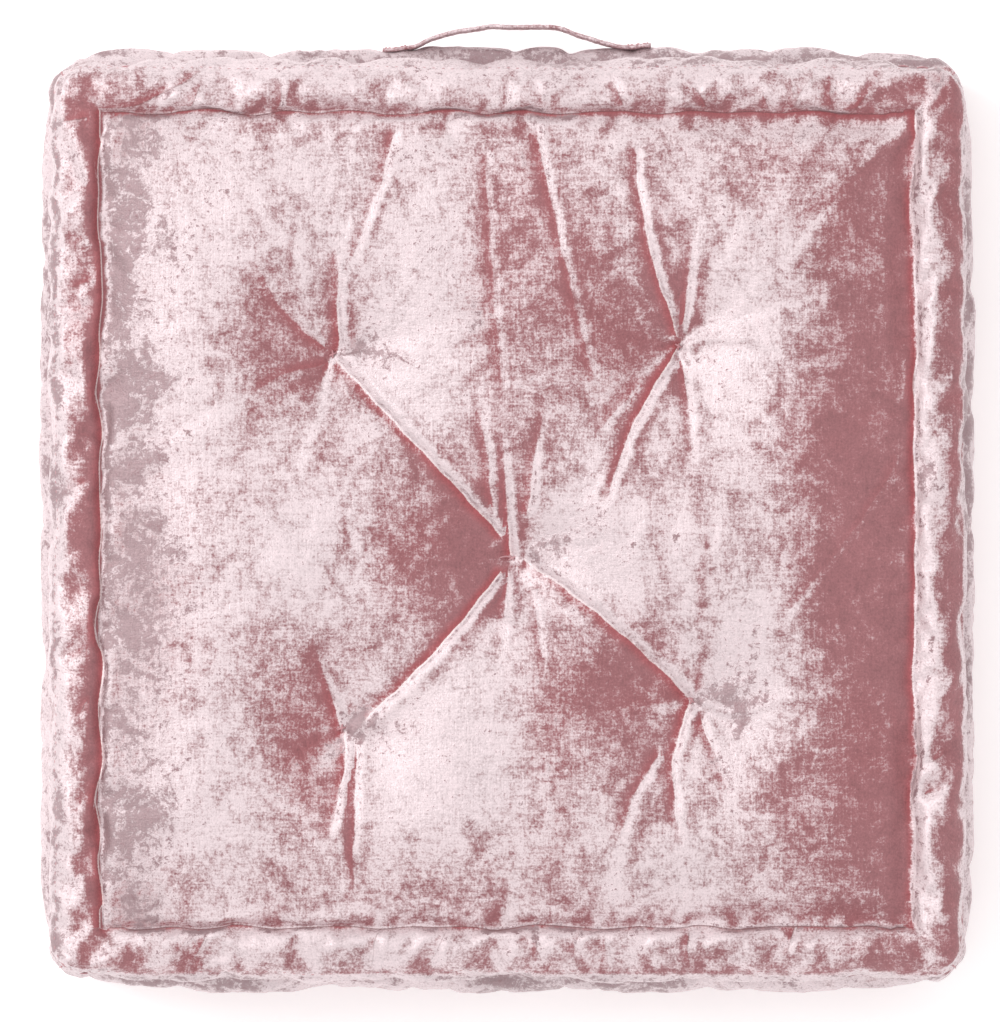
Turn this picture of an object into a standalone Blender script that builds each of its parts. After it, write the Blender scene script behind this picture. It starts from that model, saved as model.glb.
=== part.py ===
"""Square floor cushion with rolled edges, five tufts and a carrying handle.

Metres, +Z up. The origin is on the floor under the middle of the cushion, and +Y points to
the side that carries the handle. Two square panels are sewn to four side strips. Lines of
stitching just inside the seams, on the panels and on the sides, shut a roll of filling into
every edge. Five ties pull the two panels together through the filling.
"""

import math
from collections import namedtuple

import bmesh
import bpy
from mathutils import Vector
from mathutils.geometry import delaunay_2d_cdt

# Overall sizes
SEAM_WIDTH = 0.484  # a panel from seam to seam, both ways
THICKNESS = 0.100  # floor to crown
CORNER_RADIUS = 0.014  # of a panel, at its seam
SIDE_SWELL = 0.008  # how far the middle of a side stands out past the seam
CORNER_SWELL = 0.3  # share of that swell which is left at the corners

# Cloth, thread and the clearance between pieces that touch
FABRIC = 0.0012
THREAD = 0.0012  # across, for the seams and the stitch lines
GAP = 0.0003

# Rolled edges
ROLL_WIDTH = 0.024  # seam to stitch line, on a panel
ROLL_SWELL = 0.003  # how far the roll stands out past the seam, on a side
STITCH_FLAT = 0.003  # flat that a stitch line lies on
SIDE_GROOVE = 0.001  # depth of the stitch line on a side, in from the seam
SIDE_BAND = 0.031  # height of the band between a side's two stitch lines
CROWN_RAMP = 0.050  # from the groove to the full height of the crown

# Tufts: four in a square round one in the middle, tied by hand, so none is quite in line
TUFT_PITCH = 0.0925  # from the middle to each of the four, in X and in Y
TUFTS = {
    "back_left": (-1, 1, -0.0010, -0.0040),
    "back_right": (1, 1, -0.0010, 0.0005),
    "middle": (0, 0, 0.0025, -0.0205),
    "front_left": (-1, -1, 0.0040, -0.0190),
    "front_right": (1, -1, 0.0060, -0.0040),
}
TIE_RADIUS = 0.0012
KNOT_RADIUS = 0.0032
KNOT_HEIGHT = 0.0022
TUFT_FLAT = 0.0045  # radius of the flat under a knot

# Handle: a folded strap, with its two ends sewn flat to the back
STRAP_WIDTH = 0.022
STRAP = 0.0026  # thick
HANDLE_X = 0.005  # middle of the handle, across the cushion
HANDLE_SPAN = 0.116  # between the sewn ends
HANDLE_RISE = 0.0135  # room for fingers at the top of the arch
ARCH_POWER = 2.4  # how square the arch is
SEWN_END = 0.014
FLEX_SHARE = 0.09  # share of the span from each sewn end to where the strap bends
STITCH_INSET = 0.0025  # from the strap's edges to its box of stitching

# How the swellings, the rolls, the crown and the tufts are rounded
SWELL_POWER = 4  # how squarely a side's swell falls off towards the corners
ROLL_POWER = 0.6  # below 1, a roll is fuller than a half sine
CROWN_POWER = 2.2
TUFT_POWER = 1.6
KNOT_SHAPE = ((0.85, 0), (1, 0.4), (0.6, 1))  # shares of the knot's radius and height

# How many points an outline has
SIDE_STEPS = 6
CORNER_STEPS = 4
PER_SIDE = SIDE_STEPS + CORNER_STEPS
ROUND = range(4 * PER_SIDE)
TIE_SIDES = 8
RAMP_RINGS = (0.25, 0.6, 1)  # shares of the crown's ramp that get a ring of points
CLEAR_OF_TUFT = 2.5  # in dimples, how near a tuft a plain point may lie

# Each face's drops are measured from its level into the cushion. The underside lies flat
# under the cushion's weight, so that its rolls and its field both touch the floor.
Face = namedtuple("Face", "level inward crest seam groove tuft tuft_reach")
TOP = Face(THICKNESS, -1, 0.006, 0.015, 0.016, 0.024, 0.060)
UNDER = Face(0.0, 1, 0.0, 0.012, 0.012, 0.010, 0.0085)
SIDE_STITCH = (THICKNESS - SIDE_BAND - STITCH_FLAT) / 2  # drop of a side's stitch line

# Linear colour and roughness of each finish
FINISHES = {
    "velvet": ((0.62, 0.38, 0.40, 1.0), 0.45),
    "filling": ((0.90, 0.89, 0.86, 1.0), 0.95),
    "thread": ((0.52, 0.26, 0.29, 1.0), 0.60),
}


def height(face, drop):
    return face.level + face.inward * drop


# ---------------------------------------------------------------- outline and profiles


def outline_at(place, inset):
    """The point of the rounded square at an inset from the seam, at a place round it.

    Places 0 to SIDE_STEPS run along the front from left to right, the next CORNER_STEPS
    go round the corner, and so on for the four sides.
    """
    side, along = divmod(place, PER_SIDE)
    half = SEAM_WIDTH / 2 - inset
    radius = max(CORNER_RADIUS - inset, CORNER_RADIUS / 4)
    straight = half - radius
    if along <= SIDE_STEPS:
        x, y = straight * (2 * along / SIDE_STEPS - 1), -half
    else:
        angle = math.radians(90) * ((along - SIDE_STEPS) / CORNER_STEPS - 1)
        x = straight + radius * math.cos(angle)
        y = -straight + radius * math.sin(angle)
    turn = math.radians(90) * (side % 4)
    return (
        x * math.cos(turn) - y * math.sin(turn),
        x * math.sin(turn) + y * math.cos(turn),
    )


def swell_at(place):
    """How much of its swell a side has at a place round the outline."""
    along = place % PER_SIDE
    if along > SIDE_STEPS:
        return CORNER_SWELL
    return 1 - (1 - CORNER_SWELL) * abs(2 * along / SIDE_STEPS - 1) ** SWELL_POWER


def moved_sideways(profile, distance):
    """The line of (inset, z) points moved to the right of the way it runs.

    Each stretch of it moves by the same distance, so a point between two moves further.
    """
    points = [Vector(point) for point in profile]
    rights = []
    for one, other in zip(points, points[1:]):
        way = (other - one).normalized()
        rights.append(Vector((way.y, -way.x)))
    moved = []
    for point, before, after in zip(points, rights[:1] + rights, rights + rights[-1:]):
        shift = (before + after) * distance / (1 + before.dot(after))
        moved.append(tuple(point + shift))
    return moved


SEAM_ROOM = THREAD / 2 + GAP  # from the middle of a seam's thread to the cloth


def panel_roll(face, steps=5):
    """The roll's part of a panel, from the seam in to the far side of the stitch line."""
    stitch_start = ROLL_WIDTH - STITCH_FLAT / 2
    puff = (face.seam + face.groove) / 2 - face.crest
    points = [(0, height(face, face.seam - SEAM_ROOM))]
    for i in range(1, steps + 1):
        t = i / steps
        foot = face.seam + (face.groove - face.seam) * t
        drop = foot - puff * math.sin(math.pi * t) ** ROLL_POWER
        points.append((stitch_start * t, height(face, drop)))
    points.append((ROLL_WIDTH + STITCH_FLAT / 2, height(face, face.groove)))
    return points


def side_roll(face, swell, steps=2):
    """The roll's part of a side, from the seam to the near side of the stitch line."""
    start = face.seam + SEAM_ROOM
    end = SIDE_STITCH - STITCH_FLAT / 2
    points = []
    for i in range(steps + 1):
        t = i / steps
        inset = SIDE_GROOVE * t - swell * ROLL_SWELL * math.sin(math.pi * t)
        points.append((inset, height(face, start + (end - start) * t)))
    return points


def middle_inset(z, swell):
    """A side's inset at a height between its two stitch lines."""
    across = min(abs(2 * z - THICKNESS) / SIDE_BAND, 1)
    return SIDE_GROOVE - (SIDE_GROOVE + SIDE_SWELL * swell) * (1 - across**3)


def side_middle(swell, steps=6):
    """A side between its two stitch lines, from the upper one down."""
    heights = [THICKNESS / 2 + SIDE_BAND * (0.5 - i / steps) for i in range(steps + 1)]
    return [(middle_inset(z, swell), z) for z in heights]


def side_profile(swell):
    """A side's outer face, from the upper seam down to the lower one."""
    return side_roll(TOP, swell) + side_middle(swell) + side_roll(UNDER, swell)[::-1]


def swept(profile_at, places):
    """The rows of points that a profile's points draw at the places round the cushion."""
    columns = [
        [(*outline_at(place, inset), z) for inset, z in profile_at(swell_at(place))]
        for place in places
    ]
    return [list(row) for row in zip(*columns)]


# ---------------------------------------------------------------- the field inside the rolls


def tuft_places():
    return {
        name: (column * TUFT_PITCH + dx, row * TUFT_PITCH + dy)
        for name, (column, row, dx, dy) in TUFTS.items()
    }


def ring(centre, radius):
    turn = 2 * math.pi / TIE_SIDES
    return [
        (
            centre[0] + radius * math.cos(turn * i),
            centre[1] + radius * math.sin(turn * i),
        )
        for i in range(TIE_SIDES)
    ]


FIELD_EDGE = ROLL_WIDTH + STITCH_FLAT / 2  # inset of the field's outline


def field_drop(face, x, y):
    """How far a face lies below its level, inside the rolls."""
    half = SEAM_WIDTH / 2 - FIELD_EDGE
    inside = min(half - abs(x), half - abs(y))
    ramp = 1 - min(max(inside, 0) / CROWN_RAMP, 1)
    drop = face.groove * ramp**CROWN_POWER
    for centre in tuft_places().values():
        away = max(math.dist(centre, (x, y)) - TUFT_FLAT, 0)
        drop += face.tuft * max(1 - away / face.tuft_reach, 0) ** TUFT_POWER
    return drop


def field_plan(middle_steps=6):
    """The field as triangles seen from above, fine round each tuft and coarse between.

    Gives the points, the triangles, the numbers of the outline's points, and those of the
    points round each tuft's hole.
    """
    outline = [outline_at(place, FIELD_EDGE) for place in ROUND]
    points = list(outline)
    for share in RAMP_RINGS:
        inset = FIELD_EDGE + share * CROWN_RAMP
        points += [outline_at(place, inset) for place in ROUND[::2]]
    dimple = TUFT_FLAT + UNDER.tuft_reach
    centres = tuft_places().values()
    holes = []
    for centre in centres:
        holes.append(range(len(points), len(points) + TIE_SIDES))
        for radius in (TIE_RADIUS + 2 * GAP, TUFT_FLAT, dimple, 2 * dimple):
            points += ring(centre, radius)
    reach = SEAM_WIDTH / 2 - FIELD_EDGE - CROWN_RAMP
    for i in range(1, middle_steps):
        for j in range(1, middle_steps):
            spot = (
                reach * (2 * i / middle_steps - 1),
                reach * (2 * j / middle_steps - 1),
            )
            if all(math.dist(spot, centre) > CLEAR_OF_TUFT * dimple for centre in centres):
                points.append(spot)
    whole_area = [list(range(len(outline)))]
    flat, _, triangles, came_from, _, _ = delaunay_2d_cdt(
        [Vector(point) for point in points], [], whole_area, 1, 1e-7
    )
    number = {old: new for new, olds in enumerate(came_from) for old in olds}
    holes = [[number[i] for i in hole] for hole in holes]
    kept = [t for t in triangles if not any(set(t) <= set(hole) for hole in holes)]
    return (
        [(point.x, point.y) for point in flat],
        kept,
        [number[i] for i in range(len(outline))],
        holes,
    )


PLAN = field_plan()


# ---------------------------------------------------------------- building meshes


class Skin:
    """A mesh that is drawn row by row."""

    def __init__(self):
        self.work = bmesh.new()

    def add(self, points):
        return [self.work.verts.new(point) for point in points]

    def bridge(self, one, other, closed=True):
        """Triangles between two rows that have the same number of points.

        Cloth and the filling behind it are split along the same diagonals, so that they
        keep their distance where they are twisted.
        """
        count = len(one)
        for i in range(count if closed else count - 1):
            j = (i + 1) % count
            self.work.faces.new((one[i], one[j], other[j]))
            self.work.faces.new((one[i], other[j], other[i]))

    def field(self, face, depth):
        """A face's field, moved into the cushion by depth. Gives its outline and holes."""
        flat, triangles, outline, holes = PLAN
        placed = self.add(
            (x, y, height(face, field_drop(face, x, y) + depth)) for x, y in flat
        )
        for triangle in triangles:
            self.work.faces.new([placed[i] for i in triangle])
        return [placed[i] for i in outline], [[placed[i] for i in h] for h in holes]

    def carry_on(self, start, rows):
        """Rows all round the cushion, from the placed row start. Gives the last one."""
        for row in rows:
            new = self.add(row)
            self.bridge(start, new)
            start = new
        return start

    def tube(self, rows):
        """Closed rows, of which the last joins the first."""
        placed = [self.add(row) for row in rows]
        for one, other in zip(placed, placed[1:] + placed[:1]):
            self.bridge(one, other)

    def sheet(self, rows):
        """Open rows, side by side."""
        placed = [self.add(row) for row in rows]
        for one, other in zip(placed, placed[1:]):
            self.bridge(one, other, closed=False)

    def make(self, name, finish, closed=True):
        if closed:
            bmesh.ops.recalc_face_normals(self.work, faces=self.work.faces)
        mesh = bpy.data.meshes.new(name)
        self.work.to_mesh(mesh)
        self.work.free()
        mesh.shade_smooth()
        mesh.set_sharp_from_angle(angle=math.radians(50))
        mesh.materials.append(finish)
        piece = bpy.data.objects.new(name, mesh)
        bpy.context.scene.collection.objects.link(piece)
        return piece


def make_thread(name, points, closed, finish):
    """A line of thread through the points."""
    line = bpy.data.curves.new(name, "CURVE")
    line.dimensions = "3D"
    line.bevel_depth = THREAD / 2
    line.bevel_resolution = 1
    line.use_fill_caps = not closed
    line.materials.append(finish)
    spline = line.splines.new("POLY")
    spline.points.add(len(points) - 1)
    spline.use_cyclic_u = closed
    for point, place in zip(spline.points, points):
        point.co = (*place, 1)
    bpy.context.scene.collection.objects.link(bpy.data.objects.new(name, line))


def make_finish(name):
    colour, roughness = FINISHES[name]
    finish = bpy.data.materials.new(name)
    finish.use_nodes = True
    shader = finish.node_tree.nodes["Principled BSDF"]
    shader.inputs["Base Color"].default_value = colour
    shader.inputs["Roughness"].default_value = roughness
    shader.inputs["Metallic"].default_value = 0.0
    return finish


# ---------------------------------------------------------------- the cover


def make_panel(name, face, finish):
    """One square of velvet: its field, its part of the rolls and the holes for the ties."""
    outside = panel_roll(face)
    inside = moved_sideways(outside, -face.inward * FABRIC)
    inside[0] = (FABRIC, outside[0][1])
    skin = Skin()
    seams = []
    holes = []
    for depth, line in ((0, outside), (FABRIC, inside)):
        edge, field_holes = skin.field(face, depth)
        to_seam = swept(lambda swell: line[-2::-1], ROUND)
        seams.append(skin.carry_on(edge, to_seam))
        holes.append(field_holes)
    skin.bridge(*seams)
    for upper, lower in zip(*holes):
        skin.bridge(upper, lower)
    skin.make(name, finish)


def make_side_strip(name, side, finish):
    """The strip along one side, from the middle of one corner to the middle of the next."""
    corner_length = math.radians(90) * CORNER_RADIUS
    seam_room = SEAM_ROOM / corner_length * CORNER_STEPS
    first = side * PER_SIDE - CORNER_STEPS / 2
    places = [first + i for i in range(PER_SIDE + 1)]
    places[0] += seam_room
    places[-1] -= seam_room
    skin = Skin()
    skin.sheet(swept(side_profile, [place % len(ROUND) for place in places]))
    strip = skin.make(name, finish, closed=False)
    cloth = strip.modifiers.new("Cloth", "SOLIDIFY")
    cloth.thickness = FABRIC
    cloth.offset = 1  # the faces of the sheet point into the cushion
    cloth.use_even_offset = True


def make_seams(finish):
    """The thread of the two panels' seams, and of the four between the side strips."""
    for name, face in (("top", TOP), ("bottom", UNDER)):
        z = height(face, face.seam)
        path = [(*outline_at(place, THREAD / 2), z) for place in ROUND]
        make_thread(f"{name}_seam_thread", path, True, finish)
    profile = moved_sideways(side_profile(CORNER_SWELL), -FABRIC / 2)
    corners = ("front_right", "back_right", "back_left", "front_left")
    for side, name in enumerate(corners):
        place = side * PER_SIDE + SIDE_STEPS + CORNER_STEPS / 2
        path = [(*outline_at(place, inset), z) for inset, z in profile]
        make_thread(f"corner_seam_{name}", path, False, finish)


def make_roll_stitching(finish):
    """The lines of stitching that shut the rolls off, on the panels and on the sides."""
    stand_off = THREAD / 2 + GAP
    for name, face in (("top", TOP), ("bottom", UNDER)):
        z = height(face, face.groove - stand_off)
        path = [(*outline_at(place, ROLL_WIDTH), z) for place in ROUND]
        make_thread(f"{name}_roll_stitching", path, True, finish)
        z = height(face, SIDE_STITCH)
        path = [(*outline_at(place, SIDE_GROOVE - stand_off), z) for place in ROUND]
        make_thread(f"{name}_side_stitching", path, True, finish)


# ---------------------------------------------------------------- the filling and the ties

CLOTH_DEPTH = FABRIC + GAP  # from the cushion's surface to its filling


def core_side(swell):
    """The filling behind a side, between its two stitch lines."""
    in_roll = len(side_roll(TOP, swell))
    return moved_sideways(side_profile(swell), -CLOTH_DEPTH)[in_roll:-in_roll]


def make_core(finish):
    """The main filling, between the panels and the rolls, with a way through for each tie."""
    skin = Skin()
    top_edge, top_holes = skin.field(TOP, CLOTH_DEPTH)
    under_edge, under_holes = skin.field(UNDER, CLOTH_DEPTH)
    skin.bridge(skin.carry_on(top_edge, swept(core_side, ROUND)), under_edge)
    for upper, lower in zip(top_holes, under_holes):
        skin.bridge(upper, lower)
    skin.make("fill_core", finish)


def roll_section(face, swell):
    """The section of a roll's filling, under the panel and behind the side.

    Its points run down behind the side, as the side strip's do.
    """
    under_panel = moved_sideways(panel_roll(face), -face.inward * CLOTH_DEPTH)[1:-2]
    behind_side = moved_sideways(side_roll(face, swell), face.inward * CLOTH_DEPTH)[:-1]
    section = under_panel[::-1] + behind_side
    return section if face is TOP else section[::-1]


def make_roll_filling(name, face, finish):
    """The filling that the stitching shuts into an edge."""
    skin = Skin()
    skin.tube(swept(lambda swell: roll_section(face, swell), ROUND))
    skin.make(name, finish)


def make_tie(name, centre, finish):
    """A doubled twine through the filling, with a knot in the hollow of each panel."""
    profile = [(0, 0)]
    profile += [(KNOT_RADIUS * out, KNOT_HEIGHT * up) for out, up in KNOT_SHAPE]
    profile.append((0, KNOT_HEIGHT))
    lower = height(UNDER, UNDER.tuft) - GAP
    upper = height(TOP, TOP.tuft) + GAP
    line = [(radius, lower - up) for radius, up in profile[:0:-1]]
    line += [(TIE_RADIUS, lower), (TIE_RADIUS, upper)]
    line += [(radius, upper + up) for radius, up in profile[1:]]
    skin = Skin()
    placed = skin.add((centre[0] + radius, centre[1], z) for radius, z in line)
    edges = [skin.work.edges.new(pair) for pair in zip(placed, placed[1:])]
    bmesh.ops.spin(
        skin.work,
        geom=placed + edges,
        cent=(*centre, 0),
        axis=(0, 0, 1),
        angle=math.radians(360),
        steps=TIE_SIDES,
        use_merge=True,
    )
    bmesh.ops.remove_doubles(skin.work, verts=skin.work.verts, dist=GAP / 10)
    skin.make(name, finish)


# ---------------------------------------------------------------- the handle

HANDLE_Z = THICKNESS / 2
SPAN_START = HANDLE_X - HANDLE_SPAN / 2
SPAN_END = HANDLE_X + HANDLE_SPAN / 2
FLEX = FLEX_SHARE * HANDLE_SPAN
FLEX_RISE = 1 - (1 - 2 * FLEX_SHARE) ** ARCH_POWER


def back_face(x, z):
    """Y of the back's outer face, between its two stitch lines."""
    straight = SEAM_WIDTH / 2 - CORNER_RADIUS
    swell = 1 - (1 - CORNER_SWELL) * abs(x / straight) ** SWELL_POWER
    return SEAM_WIDTH / 2 - middle_inset(z, swell)


def strap_y(x, z):
    """Y of the strap's inner face: on the back where it is sewn, and flat in the arch."""
    share = (x - SPAN_START) / HANDLE_SPAN
    rise = 1 - min(abs(2 * share - 1), 1) ** ARCH_POWER
    crest = back_face(x, HANDLE_Z)
    droop = (crest - back_face(x, z)) * (1 - min(rise / FLEX_RISE, 1))
    return crest + GAP + HANDLE_RISE * rise - droop


def make_strap(name, start, end, steps, finish, hinge=None, width_steps=4):
    """A stretch of the strap between two places along X, hung from its hinge if it has one.

    It is cut square across X, so that the loop can turn beside the sewn ends.
    """
    origin = Vector(hinge.location) if hinge else Vector()
    rows = []
    for i in range(steps + 1):
        x = start + (end - start) * i / steps
        rises = [STRAP_WIDTH * (j / width_steps - 0.5) for j in range(width_steps + 1)]
        heights = [HANDLE_Z + rise for rise in rises]
        rows.append([Vector((x, strap_y(x, z), z)) - origin for z in heights])
    skin = Skin()
    skin.sheet(rows)
    thick = bmesh.ops.extrude_face_region(
        skin.work, geom=skin.work.faces[:], use_keep_orig=True
    )
    outer = [part for part in thick["geom"] if isinstance(part, bmesh.types.BMVert)]
    bmesh.ops.translate(skin.work, verts=outer, vec=(0, STRAP, 0))
    skin.make(name, finish).parent = hinge


def make_box_stitch(name, start, end, finish):
    """The box of stitching that holds one sewn end of the strap."""
    left, right = start + STITCH_INSET, end - STITCH_INSET
    middle = (left + right) / 2
    reach = STRAP_WIDTH / 2 - STITCH_INSET
    path = [(left, -reach), (middle, -reach), (right, -reach), (right, 0)]
    path += [(right, reach), (middle, reach), (left, reach), (left, 0)]
    stand_off = STRAP + GAP + THREAD
    points = [
        (x, strap_y(x, HANDLE_Z + up) + stand_off, HANDLE_Z + up) for x, up in path
    ]
    make_thread(name, points, True, finish)


def make_handle(velvet, thread):
    """The loop that swings, the two ends it bends from, and their stitching."""
    hinge = bpy.data.objects.new("handle_hinge", None)
    hinge.location = (HANDLE_X, back_face(HANDLE_X, HANDLE_Z), HANDLE_Z)
    bpy.context.scene.collection.objects.link(hinge)
    make_strap("handle_loop", SPAN_START + FLEX, SPAN_END - FLEX, 14, velvet, hinge)
    end_reach = SEWN_END + FLEX - GAP
    outer_left, outer_right = SPAN_START - SEWN_END, SPAN_END + SEWN_END
    make_strap("handle_end_left", outer_left, outer_left + end_reach, 4, velvet)
    make_strap("handle_end_right", outer_right - end_reach, outer_right, 4, velvet)
    make_box_stitch("handle_stitch_left", outer_left, SPAN_START, thread)
    make_box_stitch("handle_stitch_right", SPAN_END, outer_right, thread)


def make_cushion():
    for old in list(bpy.data.objects):
        bpy.data.objects.remove(old)
    velvet, filling, thread = (make_finish(name) for name in FINISHES)
    make_core(filling)
    make_roll_filling("top_roll_filling", TOP, filling)
    make_roll_filling("bottom_roll_filling", UNDER, filling)
    make_panel("top_panel", TOP, velvet)
    make_panel("bottom_panel", UNDER, velvet)
    for side, name in enumerate(("front", "right", "back", "left")):
        make_side_strip(f"side_strip_{name}", side, velvet)
    make_seams(thread)
    make_roll_stitching(thread)
    for name, centre in tuft_places().items():
        make_tie(f"tuft_tie_{name}", centre, thread)
    make_handle(velvet, thread)


make_cushion()
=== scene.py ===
# %% [markdown]
# # A tufted floor cushion in crushed velvet
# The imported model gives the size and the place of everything: the seams, the lines of
# stitching, the five ties and the handle. This script dresses it. The cover is one skin of
# velvet that is sewn, tied and blown up by a cloth simulation. The stitches are scattered
# along their lines by Geometry Nodes, and every finish is worked out by shader nodes.

# %% Load the frame
import math

import bmesh
import bpy
import numpy as np
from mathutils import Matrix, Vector


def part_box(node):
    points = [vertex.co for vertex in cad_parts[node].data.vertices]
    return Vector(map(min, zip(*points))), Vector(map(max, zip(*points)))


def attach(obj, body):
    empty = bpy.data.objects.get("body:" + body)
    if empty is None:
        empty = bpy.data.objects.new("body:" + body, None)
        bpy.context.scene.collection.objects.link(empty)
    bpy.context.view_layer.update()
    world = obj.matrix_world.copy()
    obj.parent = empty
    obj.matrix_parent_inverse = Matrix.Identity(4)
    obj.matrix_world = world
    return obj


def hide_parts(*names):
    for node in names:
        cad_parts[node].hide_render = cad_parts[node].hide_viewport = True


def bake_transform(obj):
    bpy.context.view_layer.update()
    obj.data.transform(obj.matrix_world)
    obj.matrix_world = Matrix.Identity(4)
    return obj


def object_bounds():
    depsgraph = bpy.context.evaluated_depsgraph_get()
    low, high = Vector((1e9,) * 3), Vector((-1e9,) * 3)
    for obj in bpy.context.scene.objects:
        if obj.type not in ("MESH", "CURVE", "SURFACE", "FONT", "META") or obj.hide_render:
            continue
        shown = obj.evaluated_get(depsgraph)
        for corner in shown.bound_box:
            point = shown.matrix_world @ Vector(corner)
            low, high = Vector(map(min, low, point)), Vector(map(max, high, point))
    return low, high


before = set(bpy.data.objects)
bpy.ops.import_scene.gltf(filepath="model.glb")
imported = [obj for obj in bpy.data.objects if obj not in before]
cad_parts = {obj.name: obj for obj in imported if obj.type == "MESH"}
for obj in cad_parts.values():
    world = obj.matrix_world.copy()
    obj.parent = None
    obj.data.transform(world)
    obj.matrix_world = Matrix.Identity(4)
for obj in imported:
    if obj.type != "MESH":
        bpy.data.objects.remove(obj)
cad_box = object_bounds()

print("frame:", len(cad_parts), "nodes")

# %% [markdown]
# ## Measures
# The lines that hold the cover are already in the frame, so they are read and not typed in:
# a seam's thread says how wide the panels are and how high the seam lies, a tie's box says
# where the velvet is pulled down. Only what cloth adds is new here, such as how far a
# hand-sewn line wanders. Lengths are in metres, and MM turns millimetres into them.

# %% Read the lines that hold the cover
THREAD = 0.0012
MM = 0.001


def middle(node):
    low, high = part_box(node)
    return (low + high) / 2


def bell(off, reach):
    """1 where off is 0, and nearly 0 beyond twice the reach."""
    return np.exp(-((off / reach) ** 2))


def placed(name, data):
    """A new object in the scene, left at the origin."""
    made = bpy.data.objects.new(name, data)
    bpy.context.scene.collection.objects.link(made)
    return made


def worked_out(piece):
    """The piece as its modifiers make it."""
    return piece.evaluated_get(bpy.context.evaluated_depsgraph_get())


def settle(piece):
    """Keeps what the piece's modifiers make as its own mesh."""
    rough = piece.data
    piece.data = bpy.data.meshes.new_from_object(worked_out(piece))
    piece.modifiers.clear()
    bpy.data.meshes.remove(rough)
    piece.data.name = piece.name


class Line:
    """A square line round the cushion: its half width and its height."""

    def __init__(self, node, inner=0.0):
        self.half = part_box(node)[1].x - inner
        self.z = middle(node).z


seam_top = Line("top_seam_thread")
seam_under = Line("bottom_seam_thread")
groove_top = Line("top_roll_stitching", THREAD / 2)
groove_under = Line("bottom_roll_stitching", THREAD / 2)
side_upper = Line("top_side_stitching")
side_lower = Line("bottom_side_stitching")

TUFTS = ("back_left", "back_right", "middle", "front_left", "front_right")
tie_boxes = [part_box("tuft_tie_" + name) for name in TUFTS]
tuft_xy = np.array([((low + high) / 2).xy for low, high in tie_boxes])
KNOT = 0.0022
tuft_top = tie_boxes[0][1].z - KNOT
tuft_under = tie_boxes[0][0].z + KNOT

half = seam_top.half
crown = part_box("top_panel")[1].z
side_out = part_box("side_strip_right")[1].x
roll = half - groove_top.half
print(f"half width {half / MM:.1f} mm, roll {roll / MM:.1f} mm, crown {crown / MM:.1f} mm")

# %% [markdown]
# ## The cover as a grid
# A box cushion is two squares and a strip round the side. A grid of quads that follows the
# same cut makes the sewn lines rows of points, so that they can be pinned exactly. The
# alternative, a remeshed ball of cloth, loses those lines. The corners of the squares are
# rounded by bending the last few cells on to an arc.

# %% Lay out the grid
ROLL_CELLS = 8
FIELD_CELLS = 136
SIDE_CELLS = 24
CORNER = 0.014

roll_steps = np.linspace(0, roll, ROLL_CELLS + 1)
field_steps = np.linspace(roll, 2 * half - roll, FIELD_CELLS + 1)
across = np.concatenate([roll_steps[:-1], field_steps, 2 * half - roll_steps[-2::-1]]) - half
N = len(across)
last = N - 1


def ring_places():
    """Column and row of each point round the square's edge, from the front left corner."""
    front = [(i, 0) for i in range(last)]
    right = [(last, j) for j in range(last)]
    back = [(i, last) for i in range(last, 0, -1)]
    left = [(0, j) for j in range(last, 0, -1)]
    return np.array(front + right + back + left)


ring = ring_places()
RING = len(ring)


def rounded(x, y):
    """Where x comes to lie when the square's corners are bent on to an arc."""
    start = half - CORNER
    u, v = (np.clip((np.abs(place) - start) / CORNER, 0, None) for place in (x, y))
    bent = start + u * np.sqrt(1 - np.clip(v, 0, 1) ** 2 / 2) * CORNER
    return np.where((u > 0) & (v > 0), np.sign(x) * bent, x)


grid_x, grid_y = np.meshgrid(across, across, indexing="ij")
inset = np.minimum(half - np.abs(grid_x), half - np.abs(grid_y))
flat_x, flat_y = rounded(grid_x, grid_y), rounded(grid_y, grid_x)
print("grid", N, "x", N, "and", RING, "x", SIDE_CELLS)

# %% [markdown]
# ## Its cut shape
# The simulation takes its lengths of cloth from the shape that it starts in. So the start is
# already puffed: a half round over each roll, a low crown inside, and three swellings down
# the side, which are pulled in towards its corners. Cloth that is a little longer than it
# needs to be gives puckers later on.

# %% Puff the panels and the side
CREST = 7.5 * MM
SIDE_ROLL = 3.5 * MM
SLACK = 2 * MM
PULLED_IN = 0.55
ROLL_ROUND, SHOULDER_ROUND, SIDE_ROUND = 0.6, 2.2, 2.5
TOP_SHOULDER, UNDER_SHOULDER, FILLED_SHOULDER = 50 * MM, 30 * MM, 70 * MM


def rise_inside(length):
    """0 at the groove, and 1 from this far inside it: the shoulder of a filled panel."""
    return 1 - (1 - np.clip((inset - roll) / length, 0, 1)) ** SHOULDER_ROUND


def panel_height(seam, groove, level, shoulder):
    """Height of a panel over the grid: its roll, its groove and its field up to level."""
    t = np.clip(inset / roll, 0, 1)
    foot = seam.z + (groove.z - seam.z) * t
    out = math.copysign(1, level - seam.z)
    rolled = foot + out * CREST * np.sin(math.pi * t) ** ROLL_ROUND
    field = groove.z + (level - groove.z) * rise_inside(shoulder)
    return np.where(inset < roll, rolled, field)


def side_out_at(z):
    """How far the side stands out past the seam at each height."""
    upper = np.clip((z - side_upper.z) / (seam_top.z - side_upper.z), 0, 1)
    lower = np.clip((side_lower.z - z) / (side_lower.z - seam_under.z), 0, 1)
    band = 2 * (z - side_lower.z) / (side_upper.z - side_lower.z) - 1
    swell = (side_out - half) * (1 - np.abs(np.clip(band, -1, 1)) ** SIDE_ROUND)
    return swell + SIDE_ROLL * (np.sin(math.pi * upper) + np.sin(math.pi * lower))


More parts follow.
